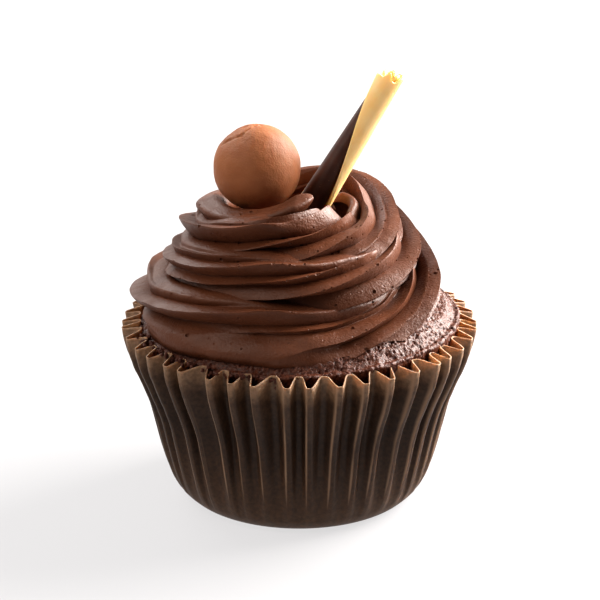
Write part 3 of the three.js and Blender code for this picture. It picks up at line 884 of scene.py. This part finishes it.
class Nodes:
    """A material's node tree, with short calls to add and join nodes."""

    def __init__(self, name):
        self.material = bpy.data.materials.new(name)
        self.material.use_nodes = True
        self.tree = self.material.node_tree
        self.shader = self.tree.nodes["Principled BSDF"]

    def add(self, kind, **inputs):
        node = self.tree.nodes.new(kind)
        for key, value in inputs.items():
            node.inputs[key].default_value = value
        return node

    def join(self, out, into):
        self.tree.links.new(out, into)

    def position(self):
        return self.add("ShaderNodeTexCoord").outputs["Object"]

    def attribute(self, name):
        node = self.add("ShaderNodeAttribute")
        node.attribute_name = name
        return node.outputs["Fac"]

    def noise(self, where, size, detail=3.0, roughness=0.5):
        """Noise with features of the given size in millimetres."""
        scale = 1 / (size * MM)
        node = self.add("ShaderNodeTexNoise", Scale=scale, Detail=detail, Roughness=roughness)
        self.join(where, node.inputs["Vector"])
        return node.outputs["Fac"]

    def cells(self, where, size):
        """Distance to the nearest cell centre, for cells of the given size in millimetres."""
        node = self.add("ShaderNodeTexVoronoi", Scale=1 / (size * MM))
        self.join(where, node.inputs["Vector"])
        return node.outputs["Distance"]

    def ramp(self, value, stops):
        """Colour or number at value, from stops of a place and a colour or number."""
        node = self.add("ShaderNodeValToRGB")
        ramp = node.color_ramp
        while len(ramp.elements) < len(stops):
            ramp.elements.new(0.5)
        for element, (at, colour) in zip(ramp.elements, stops):
            element.position = at
            if not isinstance(colour, tuple):
                colour = (colour, colour, colour)
            element.color = (*colour, 1)
        self.join(value, node.inputs["Fac"])
        return node.outputs["Color"]

    def fade(self, value, low, high, start=0.0, end=1.0):
        """From start to end as value goes from low to high."""
        return self.ramp(value, ((low, start), (high, end)))

    def mix(self, share, a, b, kind="MIX"):
        """Mix of two colours. Sockets 6 and 7 are the node's colours, and output 2 its result."""
        node = self.add("ShaderNodeMix")
        node.data_type = "RGBA"
        node.blend_type = kind
        for value, key in ((share, 0), (a, 6), (b, 7)):
            if isinstance(value, (int, float)):
                node.inputs[key].default_value = value
            elif isinstance(value, tuple):
                node.inputs[key].default_value = (*value, 1)
            else:
                self.join(value, node.inputs[key])
        return node.outputs[2]

    def bump(self, height, depth, normal=None):
        """Bump of the given depth in millimetres."""
        node = self.add("ShaderNodeBump", Strength=1.0, Distance=depth * MM)
        self.join(height, node.inputs["Height"])
        if normal is not None:
            self.join(normal, node.inputs["Normal"])
        return node.outputs["Normal"]

    def shade(self, key, value):
        """Set the shader's socket to a number, a colour or a node's output."""
        socket = self.shader.inputs[key]
        if isinstance(value, (int, float)):
            socket.default_value = value
        elif isinstance(value, tuple):
            socket.default_value = value if socket.type == "VECTOR" else (*value, 1)
        else:
            self.join(value, socket)

    def let_light_in(self, weight, radius, depth):
        """Light passes under the surface, to the given depth in millimetres."""
        self.shade("Subsurface Weight", weight)
        self.shade("Subsurface Radius", radius)
        self.shade("Subsurface Scale", depth * MM)


def frosting_material():
    m = Nodes("chocolate_frosting")
    where = m.position()
    m.shade("Base Color", m.fade(m.noise(where, 9, 3), *NOISE_RANGE, *FROSTING_TONES))
    m.shade("Roughness", m.fade(m.noise(where, 2.5), *NOISE_RANGE, 0.4, 0.5))
    m.shade("Specular IOR Level", 0.24)
    grain = m.bump(m.noise(where, 0.45, 4, 0.6), 0.12, m.bump(m.noise(where, 1.8, 2), 0.12))
    pits = m.fade(m.cells(where, 1.6), 0.0, 0.16)
    m.shade("Normal", m.bump(pits, 0.12, grain))
    return m.material


def paper_material():
    m = Nodes("case_paper")
    where = m.position()
    parts = m.add("ShaderNodeSeparateXYZ")
    m.join(where, parts.inputs[0])
    height = m.add("ShaderNodeMapRange")
    height.inputs["From Max"].default_value = CASE_HEIGHT * MM
    m.join(parts.outputs["Z"], height.inputs["Value"])
    tone = m.ramp(height.outputs[0], PAPER_TONES)
    fibre = m.fade(m.noise(where, 0.8, 4), 0.35, 0.65, 0.75, 1.2)
    plain = m.mix(1.0, tone, fibre, "MULTIPLY")
    patchy = m.fade(m.noise(where, 14, 3), 0.35, 0.6, 0.55, 1.0)
    # Painted highlight: the fold corners are lightened towards the highlight colour, in slow
    # patches.
    fold_highlight = m.mix(1.0, m.attribute("fold_highlight"), patchy, "MULTIPLY")
    highlight_share = m.fade(fold_highlight, 0.25, 0.9, 0.0, 0.8)
    m.shade("Base Color", m.mix(highlight_share, plain, FOLD_HIGHLIGHT_COLOUR))
    m.shade("Roughness", 0.55)
    m.shade("Specular IOR Level", 0.25)
    m.let_light_in(0.5, (1.0, 0.75, 0.55), 0.8)
    m.shade("Normal", m.bump(m.noise(where, 0.5, 4), 0.05))
    return m.material


def sponge_material():
    m = Nodes("sponge_crumb")
    where = m.position()
    crumb = m.fade(m.noise(where, 0.6, 4, 0.6), 0.35, 0.65, *CRUMB_TONES)
    pore_shade = m.attribute("pore_shade")
    # Painted shade: the crumb colour darkens towards the pore shade colour in the pores.
    m.shade("Base Color", m.mix(m.fade(pore_shade, 0.05, 0.5), crumb, PORE_SHADE_COLOUR))
    m.shade("Roughness", m.fade(pore_shade, 0.05, 0.5, 0.36, 0.8))
    m.shade("Specular IOR Level", 0.28)
    m.shade("Normal", m.bump(m.noise(where, 0.3, 3), 0.2))
    return m.material


def ball_material():
    m = Nodes("milk_chocolate")
    where = m.position()
    m.shade("Base Color", m.fade(m.noise(where, 4, 4), *NOISE_RANGE, *BALL_TONES))
    m.shade("Roughness", 0.6)
    m.shade("Specular IOR Level", 0.25)
    m.let_light_in(0.35, (1.0, 0.45, 0.25), 2)
    m.shade("Normal", m.bump(m.noise(where, 0.35, 4), 0.07))
    return m.material


def curl_material():
    m = Nodes("two_tone_chocolate")
    where = m.position()
    tone = m.noise(where, 3, 4)
    cream = m.fade(tone, *NOISE_RANGE, *CREAM_TONES)
    brown = m.fade(tone, *NOISE_RANGE, *BROWN_TONES)
    specks = m.fade(m.noise(where, 0.35, 2), 0.7, 0.76, 0.0, 0.7)
    brown = m.mix(specks, brown, SPECK_COLOUR)
    m.shade("Base Color", m.mix(m.attribute("dark"), cream, brown))
    m.shade("Roughness", 0.45)
    m.shade("Specular IOR Level", 0.3)
    m.let_light_in(0.3, (1.0, 0.6, 0.3), 2)
    m.shade("Normal", m.bump(m.noise(where, 0.6, 3), 0.03))
    return m.material


def floor_material():
    m = Nodes("white_table")
    m.shade("Base Color", TABLE_COLOUR)
    m.shade("Roughness", 0.9)
    m.shade("Emission Color", TABLE_GLOW)
    m.shade("Emission Strength", 0.59)
    return m.material


# ---- Light ----------------------------------------------------------------

# The surroundings brighten towards this direction, between these shares of it.
LIGHT_TOWARD = (-0.1, 0.78, 0.62)
LIGHT_FROM = -0.35
LIGHT_TO = 0.85
# Their strength on the camera's side and behind the cake.
LIGHT_FRONT = 0.1
LIGHT_BACK = 0.62
LIGHT_COLOUR = (1, 0.975, 0.94, 1)
# What the camera itself sees of them.
SEEN_STRENGTH = 0.93
SEEN_COLOUR = (0.98, 0.975, 1, 1)
# Lamps, in metres and watts: name, place, aim, width and height, power, colour.
LAMPS = (
    ("window", (0.6, 0.32, 0.38), (0, 0, 0.04), (0.55, 0.55), 33, (1, 0.97, 0.94)),
    ("backdrop", (-0.45, 0.65, 0.55), (0, 0, 0.04), (0.6, 0.5), 5, (1, 1, 1)),
    ("room", (-0.6, -0.35, 0.7), (0, 0, 0.05), (0.6, 0.6), 5, (1, 0.96, 0.9)),
)


def area_light(name, at, to, size, power, colour):
    data = bpy.data.lights.new(name, "AREA")
    data.shape = "RECTANGLE"
    data.size, data.size_y = size
    data.energy = power
    data.color = colour
    obj = bpy.data.objects.new(name, data)
    bpy.context.scene.collection.objects.link(obj)
    obj.location = at
    obj.rotation_euler = (Vector(to) - Vector(at)).to_track_quat("-Z", "Y").to_euler()


def make_surroundings():
    """White surroundings, bright behind and above the cake and dim on the camera's side."""
    world = bpy.data.worlds.new("studio")
    bpy.context.scene.world = world
    world.use_nodes = True
    tree = world.node_tree
    background = tree.nodes["Background"]
    where = tree.nodes.new("ShaderNodeTexCoord")
    toward = tree.nodes.new("ShaderNodeVectorMath")
    toward.operation = "DOT_PRODUCT"
    toward.inputs[1].default_value = LIGHT_TOWARD
    tree.links.new(where.outputs["Generated"], toward.inputs[0])
    bright = tree.nodes.new("ShaderNodeMapRange")
    bright.interpolation_type = "SMOOTHSTEP"
    bright.inputs["From Min"].default_value = LIGHT_FROM
    bright.inputs["From Max"].default_value = LIGHT_TO
    bright.inputs["To Min"].default_value = LIGHT_FRONT
    bright.inputs["To Max"].default_value = LIGHT_BACK
    tree.links.new(toward.outputs["Value"], bright.inputs["Value"])
    seen = tree.nodes.new("ShaderNodeLightPath").outputs["Is Camera Ray"]
    # Sockets 2 and 3 are a mix of numbers, and 6 and 7 a mix of colours.
    strength = tree.nodes.new("ShaderNodeMix")
    tree.links.new(seen, strength.inputs[0])
    tree.links.new(bright.outputs[0], strength.inputs[2])
    strength.inputs[3].default_value = SEEN_STRENGTH
    tree.links.new(strength.outputs[0], background.inputs["Strength"])
    tint = tree.nodes.new("ShaderNodeMix")
    tint.data_type = "RGBA"
    tree.links.new(seen, tint.inputs[0])
    tint.inputs[6].default_value = LIGHT_COLOUR
    tint.inputs[7].default_value = SEEN_COLOUR
    tree.links.new(tint.outputs[2], background.inputs["Color"])


def make_light():
    make_surroundings()
    for lamp in LAMPS:
        area_light(*lamp)
    bpy.context.scene.view_settings.view_transform = "Standard"
    bpy.context.scene.view_settings.look = "Medium High Contrast"


# ---- Floor ----------------------------------------------------------------

# The floor's edges, in millimetres, and its height just under the case.
FLOOR_SIDE = 2500
FLOOR_NEAR = -2500
FLOOR_FAR = 4000
FLOOR_Z = -0.05


def make_floor():
    points = [
        (-FLOOR_SIDE, FLOOR_NEAR, FLOOR_Z),
        (FLOOR_SIDE, FLOOR_NEAR, FLOOR_Z),
        (FLOOR_SIDE, FLOOR_FAR, FLOOR_Z),
        (-FLOOR_SIDE, FLOOR_FAR, FLOOR_Z),
    ]
    floor = add_mesh("floor", points, [[0, 1, 2, 3]], smooth=False)
    floor.data.materials.append(floor_material())


# ---- Assembly -------------------------------------------------------------


def dress(obj, node, material):
    obj.data.materials.clear()
    obj.data.materials.append(material)
    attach(obj, "root")
    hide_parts(node)


make_camera()
make_floor()
make_light()
dress(make_case(), "paper_case", paper_material())
dress(make_sponge(), "sponge", sponge_material())
dress(make_frosting(), "frosting", frosting_material())
dress(make_ball(), "malt_ball", ball_material())
dress(make_curl(), "chocolate_curl", curl_material())
